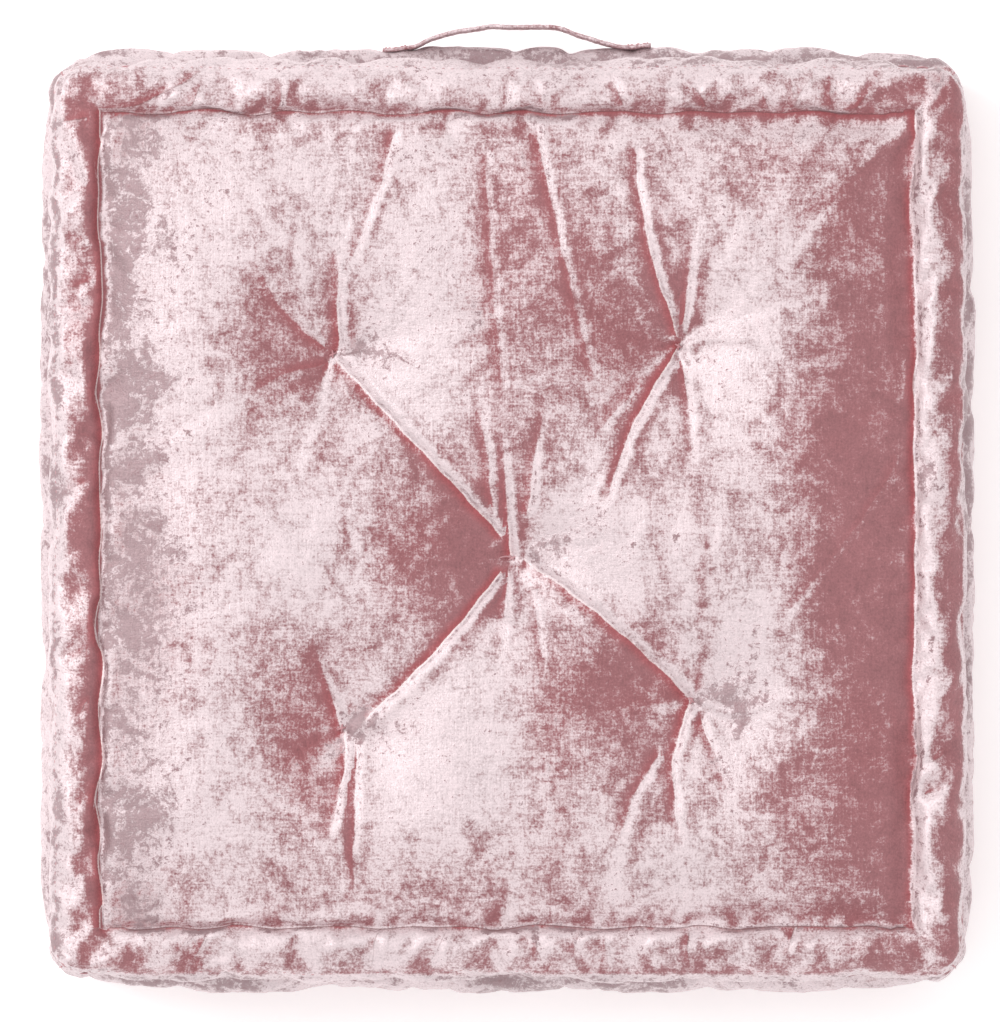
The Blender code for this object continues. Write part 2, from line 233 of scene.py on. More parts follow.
heights = np.linspace(seam_under.z, seam_top.z, SIDE_CELLS + 1)
row_lower = int(np.argmin(np.abs(heights - side_lower.z)))
row_upper = int(np.argmin(np.abs(heights - side_upper.z)))
heights[row_lower] = side_lower.z
heights[row_upper] = side_upper.z

ring_x, ring_y = flat_x[ring[:, 0], ring[:, 1]], flat_y[ring[:, 0], ring[:, 1]]
corner_fade = 1 - PULLED_IN * (np.minimum(np.abs(ring_x), np.abs(ring_y)) / half) ** 6
outward = np.stack([ring_x, ring_y], 1)
square = np.sign(outward) * (np.abs(outward) > half - 1e-6)
corner_centre = np.sign(outward) * (half - CORNER)
on_arc = np.all(np.abs(outward) > half - CORNER + 1e-6, axis=1)
outward = np.where(on_arc[:, None], outward - corner_centre, square)
outward /= np.linalg.norm(outward, axis=1)[:, None]

top_z = panel_height(seam_top, groove_top, crown + SLACK, TOP_SHOULDER)
under_z = panel_height(seam_under, groove_under, -SLACK / 2, UNDER_SHOULDER)

top_points = np.stack([flat_x, flat_y, top_z], 2).reshape(-1, 3)
under_points = np.stack([flat_x, flat_y, under_z], 2).reshape(-1, 3)
side_points = []
for z in heights[1:-1]:
    out = side_out_at(z) * corner_fade
    side_points.append(np.column_stack([ring_x + outward[:, 0] * out,
                                        ring_y + outward[:, 1] * out,
                                        np.full(RING, z)]))
start_points = np.concatenate([top_points, under_points, *side_points])
print(len(start_points), "points")

# %% Join the grid's points into one closed skin
TOP, UNDER = 0, N * N
columns, rows = np.meshgrid(np.arange(last), np.arange(last), indexing="ij")
cell = (columns * N + rows).ravel()
top_faces = np.column_stack([cell, cell + N, cell + N + 1, cell + 1])
under_faces = UNDER + top_faces[:, ::-1]

loops = [UNDER + ring[:, 0] * N + ring[:, 1]]
for k in range(SIDE_CELLS - 1):
    loops.append(2 * N * N + k * RING + np.arange(RING))
loops.append(ring[:, 0] * N + ring[:, 1])
side_faces = []
for lower, upper in zip(loops, loops[1:]):
    after = np.roll(lower, -1), np.roll(upper, -1)
    side_faces.append(np.column_stack([lower, after[0], after[1], upper]))
side_faces = np.concatenate(side_faces)

cover_mesh = bpy.data.meshes.new("velvet_cover")
cover_faces = np.concatenate([top_faces, under_faces, side_faces])
cover_mesh.from_pydata(start_points.tolist(), [], cover_faces.tolist())
cover = placed("velvet_cover", cover_mesh)
print(len(cover_faces), "quads")

# %% [markdown]
# ## Where the cover is held
# Thread holds cloth at points, and cloth goes where it likes between them. A hand that sews
# a rolled edge wanders by a millimetre or two, and so do these lines: each is moved sideways
# by a sum of slow waves with fixed random phases.

# %% Lines that wander
rng = np.random.default_rng(7)


def wander(length, size, shortest=0.03, longest=0.25, waves=9):
    """A smooth random line of a given size, the same at both ends of the loop."""
    place = np.linspace(0, 2 * math.pi, length, endpoint=False)
    total = np.zeros(length)
    round_trip = 8 * half
    for _ in range(waves):
        wave = math.exp(rng.uniform(math.log(shortest), math.log(longest)))
        count = max(1, round(round_trip / wave))
        total += np.sin(count * place + rng.uniform(0, 2 * math.pi)) / waves**0.5
    return total * size


held = start_points.copy()
pinned = np.zeros(len(start_points), bool)


def hold(numbers, way, sideways, up):
    """Pins a loop of points, moved along way and up by millimetres that wander."""
    numbers, first = np.unique(numbers, return_index=True)
    sideways = wander(RING, sideways * MM)[:, None] * way
    pinned[numbers] = True
    held[numbers] += np.column_stack([sideways, wander(RING, up * MM)])[first]


def square_loop(offset):
    """The points of the square loop that lies this many cells in from the edge."""
    span = last - 2 * offset
    turns = (ring * span / last).round().astype(int) + offset
    return turns[:, 0] * N + turns[:, 1]


rolled_edge = square_loop(ROLL_CELLS)
hold(loops[-1], outward, 0.7, 0.8)
hold(loops[0], outward, 0.6, 0.5)
hold(loops[row_upper], outward, 0.4, 0.7)
hold(loops[row_lower], outward, 0.4, 0.7)
hold(TOP + rolled_edge, square, 1.3, 0.4)
hold(UNDER + rolled_edge, square, 0.8, 0.4)

flat = np.stack([flat_x, flat_y], 2).reshape(-1, 2)
tuft_away = np.linalg.norm(flat[:, None] - tuft_xy[None], axis=2)
tuft_near = tuft_away.min(1)
TUFT_HELD = 3.4 * MM
GATHERED = 0.55
at_tuft = np.nonzero(tuft_near < TUFT_HELD)[0]
for face_start, level in ((TOP, tuft_top), (UNDER, tuft_under)):
    numbers = face_start + at_tuft
    pinned[numbers] = True
    centres = tuft_xy[tuft_away[at_tuft].argmin(1)]
    held[numbers, :2] = centres + (held[numbers, :2] - centres) * GATHERED
    held[numbers, 2] = level
print(pinned.sum(), "points held")

# %% [markdown]
# ## Creases that run from tie to tie
# Velvet that is pulled down at two ties folds along the line between them, and from each
# tie loose folds run out towards the sewn edge. Their places differ from cushion to cushion,
# so they are a short list: which tie a fold starts from, how far it runs, how deep it is
# there and how deep at its far end. The simulation is nudged into them, and they are
# sharpened afterwards. Light and shade are painted beside each fold: its lit side is the one
# away from the light, and the painted contrast is least when it runs straight towards the light.

# %% List the creases
BACK_LEFT, BACK_RIGHT, MIDDLE, FRONT_LEFT, FRONT_RIGHT = range(5)
CREASES = (
    # tie, start from it in X and Y, run in X and Y, bow, depth at the start and at the end
    (BACK_LEFT, 4, -5, 85, -91, 0, 8, 9),
    (BACK_LEFT, -1, -6, 13, -24, 0, 5, 1),
    (BACK_LEFT, 3, 4, 0, 47, 0, 6, 4),
    (BACK_LEFT, 8, 45, 25, 73, -2, 2, 4),
    (BACK_LEFT, -5, 5, -35, 42, 4, 4, 1),
    (BACK_LEFT, -6, -6, -36, -15, -3, 4, 1),
    (BACK_RIGHT, -1, 8, -22, 94, 4, 7, 3),
    (BACK_RIGHT, 2, 8, 6, 50, 0, 6, 1),
    (BACK_RIGHT, 0, -2, 7, -62, 2, 6, 1),
    (BACK_RIGHT, 0, -1, -38, -80, -4, 8, 3),
    (BACK_RIGHT, -20, -20, -20, -22, 0, 3, 2),
    (MIDDLE, 9, -3, 87, -73, 3, 9, 8),
    (MIDDLE, 6, -4, 34, -38, 0, 5, 1),
    (MIDDLE, -8, -9, -69, -76, 3, 9, 6),
    (MIDDLE, 9, 27, 8, 50, 1, 5, 1),
    (MIDDLE, -1, 3, -4, 62, 0, 7, 1),
    (MIDDLE, -9, 20, -7, 56, 0, 4, 2),
    (MIDDLE, -5, 95, -9, 118, 1, 1.5, 2),
    (MIDDLE, 43, 98, -32, 141, 1, 1.5, 4),
    (MIDDLE, -2, -8, -4, -42, 0, 5, 1),
    (MIDDLE, 11, -18, 6, -40, 0, 3, 1),
    (FRONT_LEFT, -1, 2, -12, 38, 0, 5, 1),
    (FRONT_LEFT, 2, -4, -8, -50, 2, 7, 2),
    (FRONT_LEFT, 8, -8, -2, -72, 0, 5, 2),
    (FRONT_LEFT, 0, 0, 10, 3, 0, 5, 1),
    (FRONT_RIGHT, -1, -2, -4, -71, -7, 7, 2),
    (FRONT_RIGHT, 6, -12, 13, -34, 0, 5, 2),
    (FRONT_RIGHT, -18, -30, -20, -41, -2, 4, 2),
    (FRONT_RIGHT, 118, 141, -65, -92, 3, 1.5, 1.5),
)
DEEP = 9
LIGHT_FROM = np.array([-0.96, 0.28])
VALLEY = 17 * MM
steps = np.linspace(0, 1, 97)


class Crease:
    """A fold's path over the cushion, and its depth in millimetres along it."""

    def __init__(self, place, start_x, start_y, run_x, run_y, bow, first, end):
        run = np.array([run_x, run_y]) * MM
        side = np.array([-run[1], run[0]]) / np.linalg.norm(run)
        bend = (4 * steps * (1 - steps))[:, None] * side * bow * MM
        self.path = place + np.array([start_x, start_y]) * MM
        self.path = self.path + steps[:, None] * run + bend
        self.depth = first + (end - first) * steps
        self.lit_side = side * (1 if side @ LIGHT_FROM < 0 else -1)
        self.contrast = abs(side @ LIGHT_FROM) ** 0.5

    def seen_from(self, xy):
        """At each point: how far off the fold lies, on its lit side or not, its depth."""
        low, high = self.path.min(0) - 2 * VALLEY, self.path.max(0) + 2 * VALLEY
        found = np.nonzero(np.all((xy > low) & (xy < high), axis=1))[0]
        to_path = xy[found, None] - self.path[None]
        away = np.linalg.norm(to_path, axis=2)
        where = away.argmin(1)
        rows = np.arange(len(found))
        lit = to_path[rows, where] @ self.lit_side
        return found, away[rows, where], lit, self.depth[where]


creases = [Crease(tuft_xy[tie], *row) for tie, *row in CREASES]
print(len(creases), "creases")

# %% Nudge the cloth into them
NUDGE = 0.3
NUDGE_REACH = 3 * MM
TOO_WEAK = 0.02
OVERSHOOT = 1.6
valley_depth = np.zeros(len(flat))
soft_weight = np.zeros(len(flat))
in_field = (inset.ravel() > roll + 2 * MM) & ~pinned[:N * N]
for crease in creases:
    found, away, lit, depth = crease.seen_from(flat)
    broad = depth ** 2 / DEEP * MM * bell(away, VALLEY)
    valley_depth[found] = np.maximum(valley_depth[found], broad)
    near = NUDGE * depth / DEEP * bell(away, NUDGE_REACH)
    soft_weight[found] = np.maximum(soft_weight[found], near)
soft_weight[~in_field | (soft_weight < TOO_WEAK)] = 0
guided = np.nonzero(soft_weight)[0]
held[guided, 2] -= OVERSHOOT * valley_depth[guided]
print(len(guided), "points are nudged into creases")

# %% [markdown]
# ## Sewing, tying and filling
# Blender's cloth does here what the maker does. The pinned points travel to their sewn
# places in the first frames, pressure stands in for the filling, and a rest length a few
# per cent too long leaves slack that gathers round the stitches and the ties.

# %% Simulate the cover
FRAMES = 18
SEWN_BY = 9
VELVET_CLOTH = {
    "quality": 4, "mass": 0.15, "tension_stiffness": 18, "compression_stiffness": 18,
    "shear_stiffness": 16, "bending_stiffness": 0.06, "use_pressure": True,
    "uniform_pressure_force": 5.0, "shrink_min": -0.045, "vertex_group_mass": "sewn",
}


def simulate(piece, pins, soft, goal):
    """Runs the cloth and gives the points where it came to rest."""
    group = piece.vertex_groups.new(name="sewn")
    group.add(np.nonzero(pins)[0].tolist(), 1.0, "REPLACE")
    for number in np.nonzero(soft)[0].tolist():
        group.add([number], soft[number], "REPLACE")
    moved = pins.copy()
    moved[:len(soft)] |= soft > 0
    piece.shape_key_add(name="cut")
    key = piece.shape_key_add(name="sewn")
    key.data.foreach_set("co", np.where(moved[:, None], goal, start_points).ravel())
    key.value = 0
    key.keyframe_insert("value", frame=1)
    key.value = 1
    key.keyframe_insert("value", frame=SEWN_BY)
    cloth = piece.modifiers.new("cloth", "CLOTH")
    for name, value in VELVET_CLOTH.items():
        setattr(cloth.settings, name, value)
    cloth.settings.effector_weights.gravity = 0
    cloth.collision_settings.use_collision = False
    scene = bpy.context.scene
    scene.frame_start, scene.frame_end = 1, FRAMES
    for number in range(1, FRAMES + 1):
        scene.frame_set(number)
    points = np.empty(len(start_points) * 3)
    worked_out(piece).data.vertices.foreach_get("co", points)
    piece.modifiers.remove(cloth)
    piece.shape_key_clear()
    piece.vertex_groups.clear()
    piece.animation_data_clear()
    scene.frame_set(1)
    return points.reshape(-1, 3)


points = simulate(cover, pinned, soft_weight, held)
print("heights", points[:, 2].min(), points[:, 2].max(), "width", np.abs(points[:, :2]).max(0))

# %% [markdown]
# ## Pillows from the plan, folds from the cloth
# The simulation knows how velvet folds, and the frame knows how deep the ties pull and how
# high the crown stands. So the broad shape, everything wider than a few centimetres, is
# taken from the plan, and what is finer is kept from the cloth. A blur separates the two.

# %% Give the field its broad shape
PIT_REACH = 75 * MM
CLOTH_SHARE = 0.25
NEAR_TIE = 0.35
TIE_REACH = 28 * MM
EASE_IN = 12 * MM
BLUR = 5
kernel = np.exp(-0.5 * (np.arange(-3 * BLUR, 3 * BLUR + 1) / BLUR) ** 2)
kernel /= kernel.sum()


def blurred(values):
    """A blur over the grid, which treats the far side of the edge as its last row."""
    for axis in (0, 1):
        widths = [(0, 0), (0, 0)]
        widths[axis] = (3 * BLUR, 3 * BLUR)
        padded_values = np.pad(values, widths, mode="edge")
        values = np.apply_along_axis(np.convolve, axis, padded_values, kernel, "valid")
    return values


def planned_field():
    """The top's height with its crown, its pits and the valleys between them."""
    rise = rise_inside(FILLED_SHOULDER)
    pit = (np.clip(1 - tuft_away / PIT_REACH, 0, 1) ** 2).max(1).reshape(N, N)
    height = groove_top.z + (crown - groove_top.z) * rise - (crown - tuft_top) * pit
    return height - valley_depth.reshape(N, N) * rise * (1 - 0.7 * pit)


top_grid = points[:N * N].reshape(N, N, 3)
field_only = np.clip((inset - roll) / EASE_IN, 0, 1)
broad_shape = blurred(top_grid[:, :, 2])
fine_shape = top_grid[:, :, 2] - broad_shape
kept = CLOTH_SHARE + NEAR_TIE * bell(tuft_near, TIE_REACH).reshape(N, N)
top_grid[:, :, 2] += field_only * (blurred(planned_field()) - broad_shape - (1 - kept) * fine_shape)

# %% Let the cover down on the floor and ease its sides
LONGER = 2.5 * MM
points[:, 2] = np.maximum(points[:, 2], 0)
bulging = np.abs(points[:, :2]).max(1)
far = np.percentile(bulging[bulging > half + 4 * MM], 80)
for axis, more in ((0, 0), (1, LONGER)):
    beyond = np.abs(points[:, axis]) - half
    eased = half + beyond * (side_out + more - half) / (far - half)
    points[:, axis] = np.where(beyond > 0, np.sign(points[:, axis]) * eased, points[:, axis])
cover.data.vertices.foreach_set("co", points.ravel())
cover.data.update()
coarse_points = points.copy()

# %% Halve its cells
finer = cover.modifiers.new("finer", "SUBSURF")
finer.levels = finer.render_levels = 1
finer.boundary_smooth = "ALL"
settle(cover)
skin = cover.data


def read(layer, name, width=3):
    values = np.empty(len(layer) * width, int if name == "vertices" else float)
    layer.foreach_get(name, values)
    return values.reshape(-1, width) if width > 1 else values


points = read(skin.vertices, "co")
pairs = read(skin.edges, "vertices", 2)
near_count = np.bincount(pairs.ravel(), minlength=len(points))
print(len(points), "points,", 2 * len(skin.polygons), "triangles")


def relaxed(values, share, rounds=1):
    """Each point moved part of the way to the middle of its neighbours."""
    for _ in range(rounds):
        total = np.zeros_like(values)
        for one, other in ((0, 1), (1, 0)):
            for axis in range(values.shape[1]):
                total[:, axis] += np.bincount(pairs[:, one], values[pairs[:, other], axis],
                                              minlength=len(values))
        values = values * (1 - share) + share * total / near_count[:, None]
    return values


# %% [markdown]
# ## Sharp folds
# A crease in velvet has a long fall on one side and a short steep wall on the other, with a
# low ridge behind it. The ties pull every fold this way, so each crease of the list presses
# that profile into the finer skin. A sculptor would do it with a crease brush. Short pleats
# that start at the stitching are pressed over the rolls in the same way, at random places.
# Three values are noted at each point, for the light and shade painted on the velvet: beside is
# how many millimetres off the nearest fold it lies, close is how much that fold counts there, and
# the third is how much painted highlight line (or, below 0, painted shade line) the fold's edge
# gets.

# %% Press the folds in
FOLD = 0.28
FALL, WALL = 8, 3.0
RIDGE, RIDGE_AT, RIDGE_WIDE = 0.30, 6, 3.5
END_FADE = 4 * MM
EDGE = 1.8 * MM
PLEATS = 44
xy = points[:, :2]
inside = np.minimum(half - np.abs(xy[:, 0]), half - np.abs(xy[:, 1]))
on_top = points[:, 2] > (crown + side_upper.z) / 2 - 10 * MM
field_share = on_top * np.clip((inside - roll - 3 * MM) / (10 * MM), 0, 1)
roll_share = on_top * np.sin(math.pi * np.clip(inside / roll, 0, 1)) ** 0.5
fold = np.zeros(len(points))
beside = np.full(len(points), 20.0)
close = np.zeros(len(points))
painted_edge_line = np.zeros(len(points))
wobble = np.zeros(len(points))
for turn, (wave, size) in enumerate(((0.031, 0.6), (0.013, 0.25), (0.0067, 0.12))):
    wobble += size * MM * np.sin(xy[:, 0] / wave * 5 + turn) * np.cos(xy[:, 1] / wave * 6)


def note(found, off, strength, line, reach):
    """Keeps, at each point, the fold that counts most there: how far off, and how strong."""
    here = strength * bell(off, reach)
    # edge is the painted highlight line on the fold's edge, and below 0 a painted shade line
    edge = line * strength * bell(off, EDGE)
    more = here > close[found]
    for kept_values, values in ((close, here), (beside, off / MM), (painted_edge_line, edge)):
        kept_values[found] = np.where(more, values, kept_values[found])


def press(crease, share, line, reach=7 * MM):
    """Presses one crease into the skin, where share lets it."""
    found, away, lit, depth = crease.seen_from(xy)
    past_end = np.sqrt(np.clip(away ** 2 - lit ** 2, 0, None))
    lit = lit + wobble[found]
    strength = share[found] * bell(past_end, END_FADE)
    wide = (0.5 + 0.5 * depth / DEEP) * MM
    fall = -bell(lit, FALL * wide)
    ridge = RIDGE * bell(lit - RIDGE_AT * wide, RIDGE_WIDE * wide)
    wall = ridge - bell(lit, WALL * wide)
    shape = FOLD * depth * MM * strength * np.where(lit < 0, fall, wall)
    stronger = np.abs(shape) > np.abs(fold[found])
    fold[found] = np.where(stronger, shape, fold[found])
    # deeper folds get a painted highlight line on their edge; a painted shade line is kept as given
    painted_line_strength = line * np.clip((depth - 3) / 4, 0, 1) if line > 0 else line
    note(found, lit, strength * (depth / DEEP) ** 1.1 * crease.contrast, painted_line_strength, reach)


for crease in creases:
    press(crease, field_share, 1.0)

across_roll = groove_top.half - 1 * MM
pleats = [Crease((-across_roll, across_roll), 2, 0, 50, 22, -3, 6, 4),
          Crease((-across_roll, across_roll), -2, 0, -24, -6, 0, 6, 3)]
for number in range(PLEATS):
    place = rng.uniform(-0.97, 0.97) * across_roll
    slant, depth = rng.uniform(-15, 15), rng.uniform(3.5, 7.5)
    start, run = (place, across_roll), (slant, rng.uniform(10, 20))
    if number % 2:
        start, run = start[::-1], run[::-1]
    if number % 4 > 1:
        start, run = (-start[0], -start[1]), (-run[0], -run[1])
    pleats.append(Crease(start, 0, 0, *run, rng.uniform(-2, 2), depth, 1.5))
# the pleats get a painted shade line along their edges
for pleat in pleats:
    press(pleat, roll_share, -1.2, 4.5 * MM)
print(len(creases), "creases and", len(pleats), "pleats pressed")

# %% [markdown]
# ## The grooves shade as folds do
# The stitched groove between the roll and the field is a fold as well. On the left and the
# right it has a bright edge, as the light comes across it. At the front and the back the
# light runs along it, so it is only a thin dark line.

# %% Note the grooves too
groove_run = np.arange(ROLL_CELLS, N - ROLL_CELLS)
for number, line in ((ROLL_CELLS, 1.2), (last - ROLL_CELLS, 0.4)):
    for axis in (0, 1):
        column = (number * N + groove_run) if axis == 0 else (groove_run * N + number)
        groove = coarse_points[TOP + column]
        line_at = np.interp(xy[:, 1 - axis], groove[:, 1 - axis], groove[:, axis])
        off = xy[:, axis] - line_at
        along_it = np.abs(xy[:, 1 - axis]) < across_roll + 2 * MM
        found = np.nonzero(on_top & along_it & (np.abs(off) < 12 * MM))[0]
        if axis == 0:
            note(found, off[found], 0.65, line, 7 * MM)
        else:
            note(found, off[found], 0.45, -1.6, 2.5 * MM)

# %% Move the skin
points[:, 2] += fold
points = relaxed(points, 0.35)
skin.vertices.foreach_set("co", points.ravel())
skin.update()
skin.shade_smooth()
print("heights", points[:, 2].min(), points[:, 2].max(), "width", np.abs(points[:, :2]).max(0))

# %% [markdown]
# ## Light painted by slope
# The velvet is painted from pale to deep rose with the slope of the cloth to the light, as light
# and shade. More values on every point of the skin carry that to the material, so the shader
# needs no image. The first is how far the cloth faces the light, the painted light by slope;
# deep is how far down a fold the point lies, where shade is painted; and upright is 1 on the sides
# of the cushion.

# %% Measure the painted light by slope and the depth of the folds
def ramp(values, start, end):
    t = np.clip((values - start) / (end - start), 0, 1)
    return t * t * (3 - 2 * t)


def write(mesh, name, values):
    layer = mesh.attributes.new(name, "FLOAT", "POINT")
    layer.data.foreach_set("value", values.astype(np.float32))


normals = read(skin.vertex_normals, "vector")
# deep: how far down a fold each point lies, where the velvet paints shade
deep = ((relaxed(points, 0.5, 10) - points) * normals).sum(1) / MM
upright = np.maximum(1 - ramp(np.abs(normals[:, 2]), 0.35, 0.75), ramp(-inside, 0, 3 * MM))
across_light = normals[:, :2] @ LIGHT_FROM
# painted light by slope: lighter where the cloth faces the lamp up on the left, darker where it
# faces away; on the sides lighter towards the top; weaker over the rolls
painted_slope_light = across_light * (1 - upright) + (0.06 + 0.35 * normals[:, 2]) * upright
painted_slope_light *= 1 - 0.40 * roll_share * (1 - upright)
for name, values in (("painted_slope_light", painted_slope_light), ("deep", deep), ("upright", upright),
                     ("beside", beside), ("close", close), ("painted_edge_line", painted_edge_line)):
    write(skin, name, values)
print("painted_slope_light", np.percentile(painted_slope_light, (5, 50, 95)), "deep", np.percentile(deep, (5, 50, 95)))

# %% [markdown]
# ## Painted light and shade in broad patches
# Crushing and handling lay the nap over in broad patches, and light and shade are painted over them
# in patches that the slope doesn't explain. They are listed in millimetres from the centre, and the
# left roll is painted darker and the other rolls lighter. Along the left edge, and just to the
# right of each tie, where the cloth stands steep to the light, a greyish shade is painted.

# %% Paint the broad patches of light and shade
PATCHES_AND_PAINTED_LIGHT = (
    # place in X and Y, reach in X and Y, and how much brighter
    (10, 165, 18, 55, -0.50),
    (-12, 110, 14, 90, -0.30),
    (40, 150, 14, 40, -0.25),
    (145, 185, 35, 35, -0.40),
    (190, -30, 26, 170, -0.35),
    (145, 45, 30, 40, -0.45),
    (145, 130, 28, 40, 0.30),
    (145, -140, 35, 35, -0.35),
    (22, -105, 20, 60, -0.50),
    (-102, -142, 18, 26, -0.60),
    (-145, -105, 25, 25, 0.30),
    (-62, -22, 20, 25, -0.30),
    (103, -195, 28, 25, 0.30),
    (60, -85, 28, 28, -0.20),
    (-50, 120, 35, 80, 0.20),
    (50, -15, 35, 40, 0.25),
    (-102, 150, 24, 40, 0.40),
    (-150, 70, 50, 130, 0.20),
    (-102, -30, 28, 40, 0.45),
    (-20, -130, 50, 60, 0.40),
    (-140, -170, 40, 45, 0.35),
    (80, -185, 40, 30, 0.40),
    (103, -60, 28, 35, 0.30),
    (130, 10, 30, 80, 0.25),
    (215, 228, 35, 20, -0.60),
    (215, -228, 40, 18, -0.45),
    (-80, -228, 45, 18, 0.50),
    (-228, 215, 18, 30, -0.35),
    (-230, 102, 15, 24, -0.45),
    (-225, -20, 20, 52, -0.35),
    (-180, -40, 20, 75, -0.38),
)
on_left = ramp(-xy[:, 0], 0.8 * groove_top.half, groove_top.half)
# painted light on the rolls: darker on the left roll, lighter on the others
patches_and_painted_light = (0.12 - 0.42 * on_left) * roll_share
for x, y, reach_x, reach_y, more in PATCHES_AND_PAINTED_LIGHT:
    patches_and_painted_light += more * bell(xy[:, 0] / MM - x, reach_x) * bell(xy[:, 1] / MM - y, reach_y)
patches_and_painted_light *= ramp(normals[:, 2], 0.2, 0.6)
write(skin, "patches_and_painted_light", patches_and_painted_light)
# painted greyish shade where the cloth stands steep to the light: beside the left groove and just
# right of each tie
painted_grey_shade = bell(xy[:, 0] + groove_top.half - 18 * MM, 22 * MM) * (inside > roll)
for x, y in tuft_xy:
    painted_grey_shade += 0.9 * bell(xy[:, 0] - x - 14 * MM, 11 * MM) * bell(xy[:, 1] - y - 4 * MM, 8 * MM)
write(skin, "painted_grey_shade", painted_grey_shade * on_top)
print("patches_and_painted_light", patches_and_painted_light.min(), "to", patches_and_painted_light.max(), "and grey up to", painted_grey_shade.max())

# %% [markdown]
# ## A short way to write shader maths
# A Wire holds one output of a node. Adding or multiplying wires adds the Math nodes, so a
# mask reads as a line of arithmetic. A Finish is a material with one method for any other
# node.

# %% Wire and Finish
def add_node(tree, kind, settings, inputs, output):
    """Adds a node: its type, its settings, its sockets' values or wires, its output."""
    made = tree.nodes.new(kind)
    for name, value in (settings or {}).items():
        setattr(made, name, value)
    for name, value in (inputs or {}).items():
        if isinstance(value, bpy.types.NodeSocket):
            tree.links.new(value, made.inputs[name])
        else:
            made.inputs[name].default_value = value
    return made.outputs[output]


class Wire:
    def __init__(self, finish, socket):
        self.finish, self.socket = finish, socket

    def maths(self, operation, *values, clamp=False):
        settings = {"operation": operation, "use_clamp": clamp}
        return self.finish.node("Math", settings, dict(enumerate(values)))

    def __add__(self, other):
        return self.maths("ADD", self, other)

    def __sub__(self, other):
        return self.maths("SUBTRACT", self, other)

    def __rsub__(self, other):
        return self.maths("SUBTRACT", other, self)

    def __mul__(self, other):
        return self.maths("MULTIPLY", self, other)

    __radd__, __rmul__ = __add__, __mul__

    def kept(self):
        """The value cut off below 0 and above 1."""
        return self.maths("ADD", self, 0.0, clamp=True)

    def over(self, start, end):
        """0 below start and 1 above end, with a soft step between."""
        ends = {"From Min": start, "From Max": end}
        settings = {"interpolation_type": "SMOOTHSTEP"}
        return self.finish.node("MapRange", settings, {"Value": self, **ends})


class Finish:
    def __init__(self, name, **constants):
        self.material = bpy.data.materials.new(name)
        self.material.use_nodes = True
        self.tree = self.material.node_tree
        self.surface = self.tree.nodes["Principled BSDF"]
        for socket, value in constants.items():
            self.surface.inputs[socket.replace("_", " ")].default_value = value
        self.place = self.node("TexCoord", output="Object")

    def node(self, kind, settings=None, inputs=None, output=0):
        bare = {name: getattr(value, "socket", value) for name, value in (inputs or {}).items()}
        return Wire(self, add_node(self.tree, "ShaderNode" + kind, settings, bare, output))

    def noise(self, scale, detail=3.0, roughness=0.55, twist=0.0, stretch=None):
        """Noise from -0.5 to 0.5; scale is in lumps to the metre."""
        place = self.place
        if stretch:
            place = self.node("Mapping", None, {"Vector": place, "Scale": stretch})
        sockets = {"Vector": place, "Scale": scale, "Detail": detail}
        sockets.update({"Roughness": roughness, "Distortion": twist})
        return self.node("TexNoise", None, sockets) - 0.5

    def point_value(self, name):
        return self.node("Attribute", {"attribute_name": name}, output="Fac")

    def mixed(self, share, one, other):
        """From colour one to colour other as share goes from 0 to 1."""
        return self.node("Mix", {"data_type": "RGBA"}, {0: share, 6: one, 7: other}, 2)

    def scaled(self, colour, brightness):
        settings = {"operation": "SCALE"}
        return self.node("VectorMath", settings, {0: colour, "Scale": brightness})

    def feed(self, **wires):
        for socket, wire in wires.items():
            self.tree.links.new(wire.socket, self.surface.inputs[socket.replace("_", " ")])

    def bumped(self, height, distance, strength=1.0):
        sockets = {"Height": height, "Distance": distance, "Strength": strength}
        self.feed(Normal=self.node("Bump", None, sockets))


print("ready to write finishes")

# %% [markdown]
# ## Crushed velvet
# Light and shade are painted into the velvet's colour: pale where the cloth faces the lamp, deep
# rose where it faces away and, as painted shade, down in the folds, and a greyish mauve painted
# where the cloth stands steep to the light. The change is never clean: crushing has broken it up
# at every size from a hand's breadth to a hair. So noises at four sizes are added to the painted
# light by slope before it is turned into a colour. Beside a fold, one side is painted lit and the
# other painted in shade, and a painted thin line of light runs on its edge.

# %% Make the velvet
# colours of the painted light and shade: PALE where the cloth faces the light, ROSE where it faces
# away, DEEP_ROSE at random and as painted shade in folds, MAUVE a painted greyish shade on steep
# slopes to the light and random specks, EDGE_LIGHT a painted highlight line, SHADE a painted shade
# line
ROSE = (0.375, 0.153, 0.166, 1)
DEEP_ROSE = (0.390, 0.092, 0.102, 1)
PALE = (0.785, 0.655, 0.678, 1)
MAUVE = (0.290, 0.180, 0.193, 1)
EDGE_LIGHT = (0.900, 0.770, 0.760, 1)
SHADE = (0.190, 0.070, 0.070, 1)

velvet = Finish("crushed_velvet", Sheen_Weight=0.15, Sheen_Roughness=0.4)
painted_slope_light_at, deep_at, upright_at, beside_at, close_at, painted_edge_line_at, patches_and_painted_light_at, painted_grey_shade_at = [
    velvet.point_value(name)
    for name in ("painted_slope_light", "deep", "upright", "beside", "close", "painted_edge_line", "patches_and_painted_light", "painted_grey_shade")]
clouds = velvet.noise(14, 2, 0.5, 0.4)
patches = velvet.noise(55, 5, 0.64, 1.0)
marks = velvet.noise(260, 5, 0.74, 0.5)
grain = velvet.noise(900, 3, 0.65)
threads = velvet.noise(60, 3, 0.6, 0.0, (1, 14, 14)) + velvet.noise(60, 3, 0.6, 0.0, (14, 1, 14))

# painted light and shade on the two sides of a fold
lit_side = beside_at.over(-0.1, 0.5) * (1 - beside_at.over(3.0, 9.0)) * close_at
dark_side = (1 - beside_at.over(-0.5, 0.1)) * beside_at.over(-10.0, -2.0) * close_at
lit_side = lit_side * close_at * (1.1 + patches * 3.5)
